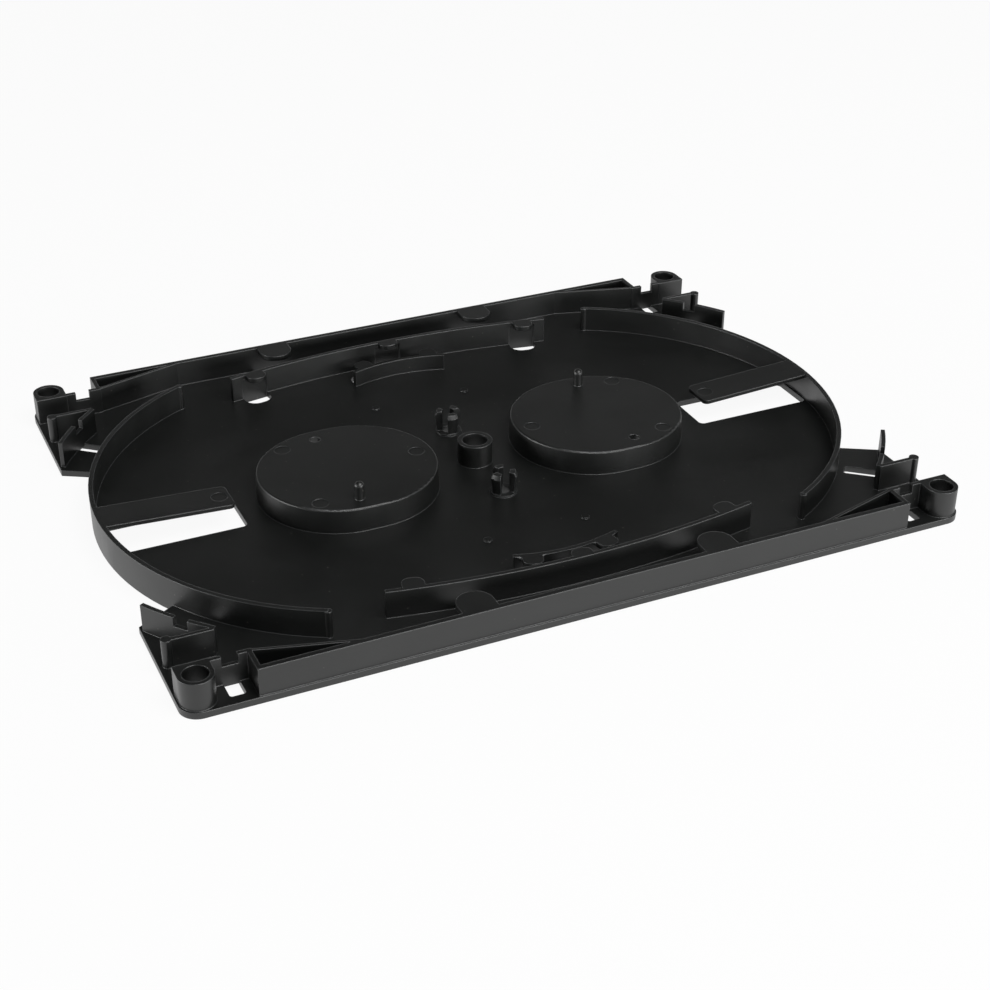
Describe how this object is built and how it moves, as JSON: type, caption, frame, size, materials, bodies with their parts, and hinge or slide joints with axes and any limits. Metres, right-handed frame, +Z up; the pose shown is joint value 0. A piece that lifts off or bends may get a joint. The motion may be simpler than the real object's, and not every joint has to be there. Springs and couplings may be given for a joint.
{
  "type": "fibre splice tray",
  "caption": "Flat moulded tray for fibre splices, with oval routing walls, hubs to coil fibre round, retaining tabs and cable entries at the corners.",
  "frame": {"origin": "middle of the underside, under the centre hole", "axes": "+X along the tray's length, +Y across it, +Z up out of the open side"},
  "size_m": [0.1676, 0.1254, 0.0109],
  "materials": {
    "tray_plastic": "fine satin black moulding"
  },
  "bodies": {
    "root": {"splice_tray": "tray_plastic"}
  },
  "joints": []
}
